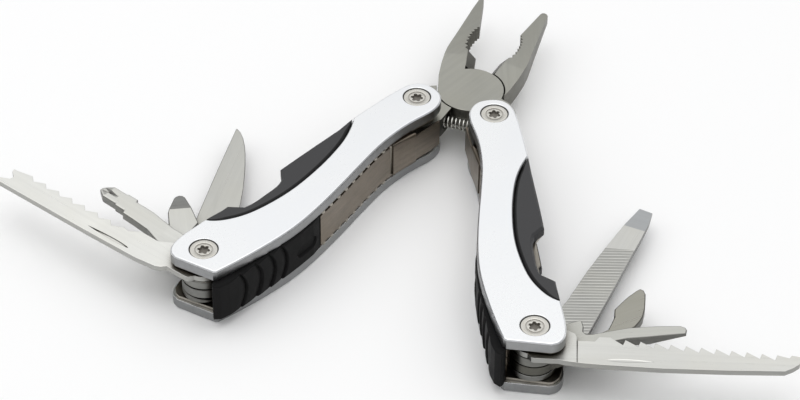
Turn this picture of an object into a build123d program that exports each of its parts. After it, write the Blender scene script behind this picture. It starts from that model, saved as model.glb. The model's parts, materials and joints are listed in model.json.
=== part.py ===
from build123d import *
import os
from math import cos, sin, radians, hypot

os.makedirs("parts", exist_ok=True)

# ---------------------------------------------------------------- dimensions
# millimetres and degrees; the tool lies flat, every pivot axis is vertical
HEIGHT = 17.0            # over the outer faces of the scales
SCALE = 3.0              # thickness of a scale
LINER = 0.8              # thickness of the steel sheet
REACH = 77.0             # front screw to rear screw of a handle
CHAMFER = 0.6            # bevel round the rim of a scale

HEAD_LOW, HEAD_HIGH = 5.7, 11.3      # plier forgings, full thickness
MID = HEIGHT / 2                     # lap plane
LAP = 0.02                           # half of the lap clearance
DISC_R = 8.5                         # lap disc
RELIEF_R = 8.9                       # round relief that clears the other disc
TANG_X, TANG_Y = -15.44, -7.28       # handle pivot, seen from the plier pivot

SLEEVE_R = 2.25          # pivot sleeve
BORE_R = 2.30            # bore that runs on a sleeve
HEAD_R = 3.50            # screw head
SINK_R = 3.68            # counterbore for a screw head
SINK = 1.5               # depth of that counterbore
DROP = 0.25              # how far a head lies below the scale's face
SHANK_R = 1.30           # screw shank

OPENING = 23.4           # jaw opening at rest, held by the return spring
CENTRE = 72.45           # direction of the centre line between the jaws
SHIFT_X, SHIFT_Y = 3.380, -18.196    # moves the box centre to the origin

PIN_X, PIN_Y = 17.88 + SHIFT_X, 49.41 + SHIFT_Y
UPPER_DIR = CENTRE + OPENING / 2
LOWER_DIR = CENTRE - OPENING / 2
LEFT_DIR = -131.32       # left handle, front screw to rear screw
RIGHT_DIR = -83.85       # right handle

# layers of the four tools in a handle, bottom to top
L4 = (4.08, 5.58)
L3 = (5.86, 8.36)
L2 = (8.64, 11.14)
L1 = (11.42, 12.92)

# ---------------------------------------------------------------- outlines
# Handle outlines: x runs from the front screw to the rear screw, y points to
# the open side of the channel. side = 1 or -1 gives the two mirror images.
RIM_INNER = [
    (80.6, -7.9), (75, -8.95), (68, -9.95), (61, -10.6), (55, -10.7),
    (50, -10.35), (45, -9.75), (40, -9.0), (35, -8.15), (30, -7.25),
    (25, -6.4), (20.5, -5.72), (16, -5.38), (11, -5.38), (6.5, -5.8), (1.2, -6.5),
]
RIM_FRONT = [
    (-2.5, -5.75), (-4.9, -3.6), (-5.6, -0.6), (-5.0, 2.5), (-2.9, 4.5),
    (0.5, 5.4), (5, 5.85), (10, 6.15), (16.9, 6.4),
]
RIM_OUTER = [
    (23, 6.62), (30, 6.8), (37, 6.9), (44, 6.95), (51, 7.0), (58, 7.05),
    (64, 7.1), (69.2, 7.15), (73, 7.3), (76.5, 7.35), (79.5, 7.1), (82.0, 6.2),
    (83.4, 4.6),
]
REAR_CORNERS = [(83.7, 3.0), (81.3, -7.25)]
SEAM = [
    (16.9, 6.4), (20.8, 4.15), (25, 2.45), (30, 1.15), (34, 0.4), (38.5, -0.2),
    (43, -0.6), (48.5, -0.7), (53, -0.35), (57, 0.25), (61, 1.25), (65, 3.1),
    (67.7, 5.1), (69.2, 7.15),
]
INSERT_SEAM = [
    (17.5, 6.3), (21.0, 4.3), (25.1, 2.6), (30.05, 1.3), (34.05, 0.55), (38.5, -0.05),
    (43, -0.45), (48.5, -0.55), (52.9, -0.2), (56.9, 0.4), (60.85, 1.4), (64.8, 3.25),
    (67.5, 5.25), (68.8, 7.05),
]
INSERT_OUTER_A = [(17.5, 6.3), (23, 6.5), (29, 6.65), (36, 6.8), (43.1, 6.85)]
NOTCH = [(45.6, 4.1), (47.8, 3.4), (52.0, 3.25), (56.5, 3.3), (59.2, 3.8)]
INSERT_OUTER_B = [(61.8, 7.0), (65.5, 7.05)]


def flip(points, side):
    return [(x, y * side) for x, y in points]


def lying(x, y, angle, z=0.0):
    """A horizontal plane at height z whose X axis points along angle."""
    a = radians(angle)
    return Plane(origin=(x, y, z), x_dir=(cos(a), sin(a), 0), z_dir=(0, 0, 1))


def rim(x):
    """Inner edge of a handle at station x, by straight lines between points."""
    points = RIM_INNER[::-1]
    for (x0, y0), (x1, y1) in zip(points, points[1:]):
        if x0 <= x <= x1:
            return y0 + (y1 - y0) * (x - x0) / (x1 - x0)
    return points[0][1] if x < points[0][0] else points[-1][1]


def from_pin(x, y, direction):
    a = radians(direction)
    return PIN_X + x * cos(a) - y * sin(a), PIN_Y + x * sin(a) + y * cos(a)


# ---------------------------------------------------------------- pliers head
# Outlines of one half: x along the closed jaw line, the half's own jaw at y > 0
# and its own tang at y < 0. The upper half uses side 1, the lower half side -1.
JAW = [
    (1.0, 2.2), (9.0, 2.3), (16.5, 2.2), (17.4, 3.1), (18.2, 2.45), (19.1, 3.25),
    (19.8, 2.5), (20.7, 3.1), (21.3, 2.3), (22.1, 2.9), (22.6, 2.05),
    (23.4, 2.6), (23.9, 1.7), (24.6, 2.15), (25.1, 1.2), (25.8, 1.6),
    (26.2, 0.6), (26.8, 0.85), (27.1, 0.12),
]
NOSE_UPPER = [
    (39.6, 0.12), (40.35, 0.3), (40.55, 0.8), (40.2, 1.25), (35.0, 2.8), (29.4, 4.3),
    (24.0, 5.75), (19.7, 6.95), (16.9, 7.7), (14.1, 8.15), (9.7, 8.6), (5.0, 8.8),
    (0.0, 8.45),
]
NOSE_LOWER = [
    (38.5, 0.12), (39.1, 0.3), (39.45, 0.9), (39.35, 1.6), (38.8, 2.15), (35.0, 3.1),
    (29.4, 4.5), (24.0, 5.85), (19.7, 7.0), (16.9, 7.7), (14.1, 8.15), (9.7, 8.6),
    (5.0, 8.8), (0.0, 8.45),
]
TANG = [
    (-3.0, -0.8), (-14.3, -0.8), (-18.6, -3.0), (-20.84, -7.28), (-19.3, -11.0),
    (-15.44, -12.68), (-8.0, -12.3), (-4.3, -10.3), (-2.6, -7.9),
]
SEAT_X = -11.3           # spring seat on the tang's inner face
SEAT_DEPTH = 2.3
SEAT_R = 2.15


def plier_half(plane, side, direction, own, other):
    with BuildPart() as half:
        with BuildSketch(plane.offset(HEAD_LOW)):
            with BuildLine():
                nose = NOSE_UPPER if side == 1 else NOSE_LOWER
                Polyline(*flip(JAW + nose, side), close=True)
            make_face()
            with BuildLine():
                Polyline(*flip(TANG, side), close=True)
            make_face()
            with Locations((TANG_X, TANG_Y * side)):
                Circle(5.4)
        extrude(amount=HEAD_HIGH - HEAD_LOW)
        # round relief for the other half's disc
        with BuildSketch(plane.offset(other[0])):
            Circle(RELIEF_R)
        extrude(amount=other[1] - other[0], mode=Mode.SUBTRACT)
        # own half of the lap disc
        with BuildSketch(plane.offset(own[0])):
            Circle(DISC_R)
        extrude(amount=own[1] - own[0])
        # wire cutter: a wedge that comes to an edge on the lap plane
        edge = from_pin(9.7, 0, direction)
        a = radians(direction)
        across = Plane(
            origin=(edge[0], edge[1], 0),
            x_dir=(-sin(a) * side, cos(a) * side, 0),
            z_dir=(cos(a), sin(a), 0),
        )
        up = 1 if across.y_dir.Z > 0 else -1
        with BuildSketch(across):
            with BuildLine():
                Polyline(
                    (2.6, up * (HEAD_HIGH - 0.05)), (2.2, up * (HEAD_HIGH - 0.05)),
                    (0.06, up * MID),
                    (2.2, up * (HEAD_LOW + 0.05)), (2.6, up * (HEAD_LOW + 0.05)),
                    close=True,
                )
            make_face()
        extrude(amount=6.3)
        # the noses thin down towards the tips
        along = Plane(
            origin=(PIN_X, PIN_Y, 0),
            x_dir=(cos(a), sin(a), 0),
            z_dir=(sin(a), -cos(a), 0),
        )
        with BuildSketch(along):
            with BuildLine():
                Polyline((14, HEAD_HIGH), (42, 9.62), (42, 13), (14, 13), close=True)
            make_face()
            with BuildLine():
                Polyline((14, HEAD_LOW), (42, 7.38), (42, 4), (14, 4), close=True)
            make_face()
        extrude(amount=14, both=True, mode=Mode.SUBTRACT)
        # bore for the handle's front sleeve
        with BuildSketch(plane.offset(HEAD_LOW)):
            with Locations((TANG_X, TANG_Y * side)):
                Circle(BORE_R)
        extrude(amount=HEAD_HIGH - HEAD_LOW, mode=Mode.SUBTRACT)
        # blind seat for the return spring
        mouth = from_pin(SEAT_X, -0.8 * side, direction)
        with BuildSketch(
            Plane(
                origin=(mouth[0], mouth[1], MID),
                x_dir=(cos(a), sin(a), 0),
                z_dir=(sin(a) * side, -cos(a) * side, 0),
            )
        ):
            Circle(SEAT_R)
        extrude(amount=SEAT_DEPTH, mode=Mode.SUBTRACT)
        # bore for the plier pin, blind in the upper half
        with BuildSketch(plane.offset(own[0])):
            Circle(2.55 if side == 1 else 2.5)
        extrude(amount=(1.95 if side == 1 else own[1] - own[0]), mode=Mode.SUBTRACT)
    return half


upper_plane = lying(PIN_X, PIN_Y, UPPER_DIR)
lower_plane = lying(PIN_X, PIN_Y, LOWER_DIR)
above = (MID + LAP, HEAD_HIGH)
below = (HEAD_LOW, MID - LAP)

jaw_upper = plier_half(upper_plane, 1, UPPER_DIR, above, (HEAD_LOW, MID + LAP))
jaw_upper.part.label = "jaw_upper"
export_step(jaw_upper.part, "parts/jaw_upper.step")

jaw_lower = plier_half(lower_plane, -1, LOWER_DIR, below, (MID - LAP, HEAD_HIGH))
jaw_lower.part.label = "jaw_lower"
export_step(jaw_lower.part, "parts/jaw_lower.step")

with BuildPart() as plier_pin:
    with BuildSketch(Plane(origin=(PIN_X, PIN_Y, HEAD_LOW))):
        Circle(2.5)
    extrude(amount=HEAD_HIGH - HEAD_LOW - 0.92)
    chamfer(plier_pin.faces().sort_by(Axis.Z)[-1].edges(), 0.2)
plier_pin.part.label = "plier_pin"
export_step(plier_pin.part, "parts/plier_pin.step")

# compression spring between the blind seats of the two tangs
COIL_R, WIRE_R, TURNS = 1.38, 0.26, 9.5
s0 = Vector(*from_pin(SEAT_X, 0.8, LOWER_DIR), MID)
s1 = Vector(*from_pin(SEAT_X, -0.8, UPPER_DIR), MID)
spring_dir = (s1 - s0).normalized()
spring_start = s0 - spring_dir * 1.85
spring_len = (s1 - s0).length + 3.7
with BuildPart() as return_spring:
    with BuildLine() as coil:
        Helix(
            pitch=spring_len / TURNS, height=spring_len, radius=COIL_R,
            center=spring_start, direction=spring_dir,
        )
    with BuildSketch(Plane(origin=coil.line @ 0, z_dir=coil.line % 0)):
        Circle(WIRE_R)
    sweep()
return_spring.part.label = "return_spring"
export_step(return_spring.part, "parts/return_spring.step")


# ---------------------------------------------------------------- handles
def blank(plane, side, z0, thick, top):
    """A scale: chamfered plate less the crescent that the insert fills."""
    with BuildPart() as body:
        with BuildSketch(plane.offset(z0)):
            with BuildLine():
                edge = Spline(*flip(RIM_INNER + RIM_FRONT + RIM_OUTER, side))
                Polyline(edge @ 1, *flip(REAR_CORNERS, side), edge @ 0)
            make_face()
        extrude(amount=thick)
        face = body.faces().filter_by(GeomType.PLANE).sort_by(Axis.Z)[-1 if top else 0]
        chamfer(face.edges(), CHAMFER)
        # crescent
        with BuildSketch(plane.offset(z0 - 1)):
            with BuildLine():
                seam = Spline(*flip(SEAM, side))
                Polyline(
                    seam @ 1,
                    *flip([(69.2, 12), (16.9, 12)], side),
                    seam @ 0,
                )
            make_face()
        extrude(amount=thick + 2, mode=Mode.SUBTRACT)
        # sleeve bores and counterbores for the heads
        with BuildSketch(plane.offset(z0 - 1)):
            with Locations((0, 0), (REACH, 0)):
                Circle(BORE_R)
        extrude(amount=thick + 2, mode=Mode.SUBTRACT)
        with BuildSketch(plane.offset(z0 + thick if top else z0)):
            with Locations((0, 0), (REACH, 0)):
                Circle(SINK_R)
        extrude(amount=-SINK if top else SINK, mode=Mode.SUBTRACT)
    return body


def crescent(plane, side, z0, thick, top):
    """The plastic insert, 0.1 mm clear of the scale all along the seam."""
    with BuildPart() as body:
        with BuildSketch(plane.offset(z0)):
            with BuildLine():
                seam = Spline(*flip(INSERT_SEAM, side))
                first = Spline(seam @ 0, *flip(INSERT_OUTER_A[1:], side))
                notch = Spline(*flip(NOTCH, side))
                Line(first @ 1, notch @ 0)
                last = Polyline(notch @ 1, *flip(INSERT_OUTER_B, side))
                Line(last @ 1, seam @ 1)
            make_face()
        extrude(amount=thick)
    return body


TOOTH = 3.33             # pitch of the nut-cracker teeth
TEETH_FROM = 46.5
TEETH = 9
WEB = 0.55               # thickness of the sheet between the rows of teeth


def liner_edge():
    points = [(80.4, -6.8), (76, -7.45), (70, -8.35), (62, -9.2), (54.2, -9.3),
              (53.2, -9.75), (50, -9.6), (47.6, -9.15), (46.6, -9.0)]
    for i in range(TEETH):
        x = TEETH_FROM - i * TOOTH
        points += [
            (x, rim(x) + 0.8), (x - 0.95, rim(x - 0.95) - 0.05),
            (x - 1.7, rim(x - 1.7) - 0.05), (x - 2.65, rim(x - 2.65) + 0.8),
        ]
    points += [(16.2, -5.1), (11, -5.0), (6.5, -5.4), (1.2, -6.1), (-2.4, -5.3)]
    return points


LINER_FRONT = [(-4.5, -3.3), (-5.2, -0.5), (-4.6, 2.3), (-2.6, 4.1), (0.5, 5.0),
               (5, 5.45), (10, 5.75), (16.9, 6.0), (30, 6.4), (42.7, 6.5),
               (45.3, 4.6), (47.6, 4.1), (52.0, 3.95), (56.5, 4.0), (59.0, 4.4),
               (61.2, 6.6), (69, 6.7), (76, 6.9), (79.3, 6.65), (81.6, 5.7),
               (82.9, 4.2), (83.1, 3.0)]


def liner(plane, side, z0):
    with BuildPart() as body:
        with BuildSketch(plane.offset(z0)):
            with BuildLine():
                Polyline(*flip(liner_edge() + LINER_FRONT, side), close=True)
            make_face()
            with Locations((0, 0), (REACH, 0)):
                Circle(BORE_R, mode=Mode.SUBTRACT)
        extrude(amount=LINER)
    return body


GRIP_OUTER = [(46.8, -9.95), (50, -10.7), (55, -11.05), (60, -11.15), (65, -11.05),
              (70, -10.9), (75, -10.7), (79, -10.45), (81.6, -9.85), (82.9, -8.6)]
GRIP_INNER = [(82.3, -7.75), (80.9, -7.1), (76, -7.75), (70, -8.7), (62, -9.55),
              (54.6, -9.62), (53.4, -10.05), (50, -9.85), (46.8, -9.2)]


def build_handle(name, origin, direction, side):
    plane = lying(origin[0], origin[1], direction)
    made = {}

    made["scale_top"] = blank(plane, side, HEIGHT - SCALE, SCALE, True)
    made["scale_bottom"] = blank(plane, side, 0, SCALE, False)
    made["insert_top"] = crescent(plane, side, HEIGHT - SCALE, SCALE - 0.25, True)
    made["insert_bottom"] = crescent(plane, side, 0.25, SCALE - 0.25, False)
    made["liner_top"] = liner(plane, side, HEIGHT - SCALE - LINER)
    made["liner_bottom"] = liner(plane, side, SCALE)

    low, high = SCALE + LINER, HEIGHT - SCALE - LINER

    # closed side of the channel, notched between the teeth along both edges
    stations = [(x, rim(x) - 0.05) for x in (46.7, 44, 40, 36, 32, 28, 24, 20.5, 16.0)]
    upright = Plane(origin=plane.origin, x_dir=plane.x_dir, z_dir=-plane.y_dir)
    with BuildPart() as web:
        with BuildSketch(plane.offset(low)):
            with BuildLine():
                Polyline(
                    *flip(stations, side),
                    *flip([(x, y + WEB) for x, y in stations[::-1]], side),
                    close=True,
                )
            make_face()
        extrude(amount=high - low)
        with BuildSketch(upright):
            for i in range(TEETH - 1):
                x = TEETH_FROM - i * TOOTH - 2.99
                with BuildLine():
                    Polyline(
                        (x - 1.05, low - 0.1), (x + 1.05, low - 0.1), (x, low + 1.5),
                        close=True,
                    )
                make_face()
                with BuildLine():
                    Polyline(
                        (x - 1.05, high + 0.1), (x + 1.05, high + 0.1), (x, high - 1.3),
                        close=True,
                    )
                make_face()
            with BuildLine():
                Polyline(
                    (15.0, high + 1), (15.0, high - 2.4), (16.0, high - 2.4),
                    (17.0, high - 1.9), (18.6, high), (18.6, high + 1), close=True,
                )
            make_face()
        extrude(amount=14, both=True, mode=Mode.SUBTRACT)
    made["web"] = web

    # spring plate: fixed at its rear by bent lips, with a free tongue in front
    with BuildPart() as front_spring:
        with BuildSketch(plane.offset(low)):
            with BuildLine():
                Polyline(
                    *flip([(15.2, -5.72), (7.6, -6.6), (7.6, -5.9), (15.2, -5.02)], side),
                    close=True,
                )
            make_face()
        extrude(amount=high - low)
        with BuildSketch(plane.offset(low + 0.9)):
            with BuildLine():
                Polyline(
                    *flip([(7.8, -6.58), (-0.8, -7.12), (-0.8, -6.68), (7.8, -6.14)], side),
                    close=True,
                )
            make_face()
        extrude(amount=high - low - 1.8)
        for z0 in (low, high - 0.7):
            with BuildSketch(plane.offset(z0)):
                with BuildLine():
                    Polyline(
                        *flip([(14.2, -5.4), (8.6, -6.0), (8.6, -4.2), (13.8, -4.0)], side),
                        close=True,
                    )
                make_face()
            extrude(amount=0.7)
    made["front_spring"] = front_spring

    # ribbed grip on the rear of the closed side
    with BuildPart() as grip:
        with BuildSketch(plane.offset(SCALE)):
            with BuildLine():
                Polyline(*flip(GRIP_OUTER + GRIP_INNER, side), close=True)
            make_face()
        extrude(amount=HEIGHT - 2 * SCALE)
        with BuildSketch(plane.offset(SCALE)):
            with Locations(*flip([(60.2, -11.6), (64.5, -11.6), (69.0, -11.45), (74.2, -11.25)], side)):
                Circle(0.85)
        extrude(amount=HEIGHT - 2 * SCALE, mode=Mode.SUBTRACT)
        # shallow oblong recess near its front end
        with BuildSketch(upright.offset(10.2 * side)):
            with Locations((52.4, 7.7)):
                SlotOverall(7.4, 3.2)
        extrude(amount=3 * side, mode=Mode.SUBTRACT)
    made["grip"] = grip

    # comb of four spring fingers behind the tool tangs
    comb_line = [(54.6, -9.5), (62, -9.43), (70, -8.55), (75.6, -7.72), (78.6, -7.2)]
    with BuildPart() as backspring:
        with BuildSketch(plane.offset(low)):
            with BuildLine():
                Polyline(
                    *flip(comb_line, side),
                    *flip([(x, y + 0.75) for x, y in comb_line[::-1]], side),
                    close=True,
                )
            make_face()
        extrude(amount=high - low)
        for z0, z1 in ((L4[1], L3[0]), (L3[1], L2[0]), (L2[1], L1[0])):
            with BuildSketch(plane.offset(z0)):
                with Locations((71, -8 * side)):
                    Rectangle(18, 8)
            extrude(amount=z1 - z0, mode=Mode.SUBTRACT)
        # the top finger ends early, clear of the square tang above the others
        with BuildSketch(plane.offset(L2[1])):
            with Locations((78.2, -8 * side)):
                Rectangle(8, 8)
        extrude(amount=high - L2[1], mode=Mode.SUBTRACT)
    made["backspring"] = backspring

    for end, x in (("front", 0.0), ("rear", REACH)):
        with BuildPart() as sleeve:
            with BuildSketch(plane.offset(DROP)):
                with Locations((x, 0)):
                    Circle(HEAD_R)
            extrude(amount=SINK - DROP)
            chamfer(sleeve.faces().sort_by(Axis.Z)[0].edges(), 0.2)
            with BuildSketch(plane.offset(SINK)):
                with Locations((x, 0)):
                    Circle(SLEEVE_R)
            extrude(amount=HEIGHT - 2 * SINK - 0.1)
            with BuildSketch(plane.offset(HEIGHT - SINK - 0.1)):
                with Locations((x, 0)):
                    Circle(SHANK_R + 0.05)
            extrude(amount=-7.5, mode=Mode.SUBTRACT)
            with BuildSketch(plane.offset(DROP)):
                with Locations((x, 0)):
                    RegularPolygon(1.5, 6)
            extrude(amount=0.8, mode=Mode.SUBTRACT)
        made[end + "_sleeve"] = sleeve
        with BuildPart() as screw:
            with BuildSketch(plane.offset(HEIGHT - SINK)):
                with Locations((x, 0)):
                    Circle(HEAD_R)
            extrude(amount=SINK - DROP)
            chamfer(screw.faces().sort_by(Axis.Z)[-1].edges(), 0.2)
            with BuildSketch(plane.offset(HEIGHT - SINK)):
                with Locations((x, 0)):
                    Circle(SHANK_R)
            extrude(amount=-7.0)
            # groove round the raised centre ring
            with BuildSketch(plane.offset(HEIGHT - DROP)):
                with Locations((x, 0)):
                    Circle(2.25)
                    Circle(1.95, mode=Mode.SUBTRACT)
            extrude(amount=-0.15, mode=Mode.SUBTRACT)
            # six-lobe recess
            with BuildSketch(plane.offset(HEIGHT - DROP)):
                with Locations((x, 0)):
                    Circle(1.15)
                    with PolarLocations(1.15, 6):
                        Circle(0.42)
            extrude(amount=-0.8, mode=Mode.SUBTRACT)
        made[end + "_screw"] = screw

    with BuildPart() as front_spacers:
        for z0, z1 in ((low, HEAD_LOW - 0.04), (HEAD_HIGH + 0.04, high)):
            with BuildSketch(plane.offset(z0)):
                Circle(4.2)
                Circle(SLEEVE_R + 0.03, mode=Mode.SUBTRACT)
            extrude(amount=z1 - z0)
    made["front_spacers"] = front_spacers

    with BuildPart() as rear_washers:
        for z0 in (low + 0.04, L4[1] + 0.04, L3[1] + 0.04, L2[1] + 0.04, L1[1] + 0.04):
            with BuildSketch(plane.offset(z0)):
                with Locations((REACH, 0)):
                    Circle(4.0)
                    Circle(SLEEVE_R + 0.03, mode=Mode.SUBTRACT)
            extrude(amount=0.2)
    made["rear_washers"] = rear_washers

    for key, body in made.items():
        body.part.label = name + "_" + key
        export_step(body.part, "parts/" + name + "_" + key + ".step")
    return made


left_front = from_pin(TANG_X, -TANG_Y, LOWER_DIR)
right_front = from_pin(TANG_X, TANG_Y, UPPER_DIR)
left_handle = build_handle("left", left_front, LEFT_DIR, -1)
right_handle = build_handle("right", right_front, RIGHT_DIR, 1)


# ---------------------------------------------------------------- tools
# Tool outlines: x from the rear screw to the tip, y towards the open side of
# the channel when the tool is folded.
def rear_of(front, direction):
    a = radians(direction)
    return front[0] + REACH * cos(a), front[1] + REACH * sin(a)


left_rear = rear_of(left_front, LEFT_DIR)
right_rear = rear_of(right_front, RIGHT_DIR)
TANG_R = 5.6


def build_tool(key, rear, direction, side, layer, outline, bevels=(), nick=None, flutes=()):
    """One folding tool: tang disc, outline, ground bevels and the sleeve bore.

    A bevel is (start, end, depth, reach): both faces are planed away from the
    line between start and end, down by depth at reach beyond it. With a fifth
    value only the upper (1) or only the lower face (-1) is planed.
    """
    plane = lying(rear[0], rear[1], direction)
    with BuildPart() as body:
        with BuildSketch(plane.offset(layer[0])):
            Circle(TANG_R)
            with BuildLine():
                Polyline(*flip(outline, side), close=True)
            make_face()
            Circle(BORE_R, mode=Mode.SUBTRACT)
        extrude(amount=layer[1] - layer[0])
        for (x0, y0), (x1, y1), depth, reach, *only in bevels:
            length = hypot(x1 - x0, y1 - y0)
            d = (plane.x_dir * (x1 - x0) + plane.y_dir * (y1 - y0) * side) / length
            corner = plane.origin + plane.x_dir * x0 + plane.y_dir * (y0 * side)
            out = Vector(d.Y, -d.X, 0) * side
            for z, sign in ((layer[1], 1), (layer[0], -1)):
                if only and sign not in only:
                    continue
                section = Plane(origin=(corner.X, corner.Y, z), x_dir=out, z_dir=d)
                up = sign if section.y_dir.Z > 0 else -sign
                with BuildSketch(section):
                    with BuildLine():
                        Polyline(
                            (0, 0), (reach, -depth * up), (reach, 0.5 * up),
                            (0, 0.5 * up), close=True,
                        )
                    make_face()
                extrude(amount=length, mode=Mode.SUBTRACT)
        # flutes of a cross head, along both faces
        for x, y, long, wide in flutes:
            for z in layer:
                with BuildSketch(plane.offset(z - 0.5)):
                    with Locations((x, y * side)):
                        Rectangle(long, wide)
                extrude(amount=1.0, mode=Mode.SUBTRACT)
        # nail nick
        if nick:
            x0, x1, y = nick
            with BuildSketch(plane.offset(layer[1] - 0.35)):
                with Locations(((x0 + x1) / 2, y * side)):
                    SlotOverall(x1 - x0, 0.8)
            extrude(amount=0.5, mode=Mode.SUBTRACT)
    body.part.label = key
    export_step(body.part, "parts/" + key + ".step")
    return body


LEFT, RIGHT = 1, -1      # open side of the channel, seen along the folded blade

# fish scaler with a disgorger fork
SCALER = [(0, -5.3), (5, -3.6), (10.7, -0.1), (13.4, 1.5), (18.9, 1.4)]
for tip, valley in ((23.0, 21.4), (27.6, 26.1), (31.8, 30.4), (36.1, 34.7),
                    (40.3, 38.9), (44.6, 43.2), (49.0, 47.6), (53.4, 51.9)):
    SCALER += [(valley, 4.2 if valley > 25 else 3.2), (tip, 2.9)]
SCALER += [(57.6, 3.7), (58.9, 3.7), (58.6, 4.7), (57.0, 6.0), (57.2, 7.0),
           (59.6, 8.1), (61.0, 9.1), (59.0, 9.4), (30, 9.5), (14, 9.3), (8.2, 8.6),
           (7.0, 8.0), (6.0, 6.95), (0, 6.85), (-0.6, 6.7), (-0.9, 6.3), (-1.8, 4.9)]
fish_scaler = build_tool(
    "fish_scaler", left_rear, 142.59, LEFT, L1, SCALER, nick=(17.5, 29.5, 8.0)
)

# cross-head driver, flat sided
PHILLIPS = [(0, -5.3), (9, -5.3), (15.3, -5.2), (22.9, -6.2), (28.6, -6.2),
            (29.1, -6.9), (32.0, -6.9), (32.5, -6.6), (36.8, -6.6), (38.6, -5.5),
            (39.4, -4.75), (39.4, -4.05), (38.6, -3.3), (36.8, -2.2), (32.5, -2.2),
            (32.0, -1.8), (29.1, -1.8), (28.6, -1.0), (25.1, -0.9), (20, -0.6), (16, 0.6),
            (9, 3.2), (4, 4.6), (0, 5.0)]
phillips_driver = build_tool(
    "phillips_driver", left_rear, 139.78, LEFT, L2, PHILLIPS,
    bevels=[((36.4, -8.0), (36.4, -1.0), 0.7, 3.2)], flutes=[(37.1, -4.4, 6.8, 0.9)]
)

# large slotted driver with a stripping notch
SLOTTED = [(0, -5.3), (6, -4.6), (10.5, -2.0), (13.0, 0.9), (15.2, 2.3), (16.8, 1.6),
           (19.0, 0.0), (24.9, 1.25), (29.6, 2.5), (30.4, 3.1), (30.6, 3.9),
           (30.2, 4.8), (29.4, 5.3), (24.9, 6.85), (23.6, 7.2), (17.6, 7.3),
           (15.0, 6.8), (9, 6.1), (4, 5.3), (0, 5.0)]
slotted_driver = build_tool(
    "slotted_driver", left_rear, 97.99, LEFT, L3, SLOTTED,
    bevels=[((24.7, -1.0), (24.7, 7.5), 0.9, 6.1)]
)

# knife with a straight back
KNIFE = [(0, -5.3), (6, -4.4), (11, -1.6), (14.5, -0.6), (15.6, 0.9), (17.0, 0.9),
         (18.0, -0.3), (24, -0.35), (30.5, 0.2), (36, 1.1), (41, 2.2), (45, 3.2),
         (49, 4.35), (52, 5.4), (54.6, 6.6), (56.4, 7.8), (57.5, 9.1), (57.2, 9.3),
         (40, 9.3), (24, 9.1), (12, 8.5), (8.6, 8.1), (8.2, 7.3), (4.5, 5.2), (0, 5.0)]
knife_blade = build_tool(
    "knife_blade", left_rear, 76.2, LEFT, L4, KNIFE,
    bevels=[((17.6, 4.6), (62.0, 9.4), 0.9, 9.0)]
)

# wood saw with teeth to the nose
SAW = [(0, -5.3), (6, -4.0), (9.6, -1.9), (10.2, 0.4), (14.2, 0.4), (15.2, -1.1)]
for i in range(12):
    x = 17.8 + 3.53 * i
    y = -1.1 + 0.085 * (x - 17.8) + (0.35 if i else 0.0)
    if i:
        SAW.append((x - 0.6, y + 1.7))
    SAW.append((x, y))
SAW += [(59.4, 3.4), (60.0, 2.5), (61.9, 2.85), (62.2, 3.6), (61.7, 5.3), (60.2, 6.6), (58.2, 7.8),
        (45, 8.3), (30, 8.5), (16, 8.1), (11, 7.8), (7.2, 7.3), (5.6, 6.9), (0, 6.85),
        (-0.6, 6.7), (-0.9, 6.3), (-1.8, 4.9)]
wood_saw = build_tool("wood_saw", right_rear, -2.36, RIGHT, L1, SAW)

# pry bar and bottle opener
BAR = [(0, -5.3), (5, -5.0), (8.3, -6.1), (11.4, -7.0), (12.1, -6.8), (12.3, -4.9),
       (12.0, -3.2), (12.6, -2.3), (13.8, -2.2), (18.3, -3.05), (22.9, -3.85),
       (29.9, -4.0), (35.1, -3.7), (36.2, -3.1), (36.5, -2.2), (36.1, -0.9),
       (30.5, -0.6), (27.0, -0.35), (22, -0.15), (17, 0.9), (9, 3.6),
       (4, 4.8), (0, 5.0)]
pry_bar = build_tool(
    "pry_bar", right_rear, 4.47, RIGHT, L2, BAR,
    bevels=[((27.6, -6.5), (27.6, 1.5), 1.75, 9.0, -1)]
)

# can opener with a hooked claw
OPENER = [(0, -5.3), (5, -4.5), (12, -0.5), (17.0, 1.7), (19.4, 1.5), (21.2, 0.0),
          (22.9, -1.5), (23.5, -2.6), (24.3, -3.8), (27.0, -5.1), (29.3, -6.1),
          (32.4, -7.05), (33.4, -7.2), (33.9, -6.4), (33.6, -4.9), (32.2, -2.7),
          (30.9, -0.7), (29.0, 1.5), (27.6, 2.5), (25.6, 3.6), (18, 4.8), (9, 5.3),
          (4, 5.3), (0, 5.0)]
can_opener = build_tool("can_opener", right_rear, 27.76, RIGHT, L3, OPENER)

# file that ends in a flat driver
FILE = [(0, -5.3), (6, -4.2), (12, -1.4), (22.3, -0.2), (34.1, 0.4), (43.5, 1.35),
        (53.0, 2.5), (61.0, 3.8), (60.7, 7.3), (56.6, 8.0), (50.7, 8.2), (30, 8.5),
        (14, 8.6), (8.8, 8.2), (8.3, 7.3), (4.5, 5.2), (0, 5.0)]
file_blade = build_tool(
    "file_blade", right_rear, 66.34, RIGHT, L4, FILE,
    bevels=[((53.2, 1.0), (53.2, 9.5), 0.45, 8.0)]
)
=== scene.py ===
import json
import math
import random

import bmesh
import bpy
import numpy as np
from mathutils import Matrix, Vector, geometry

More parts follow.
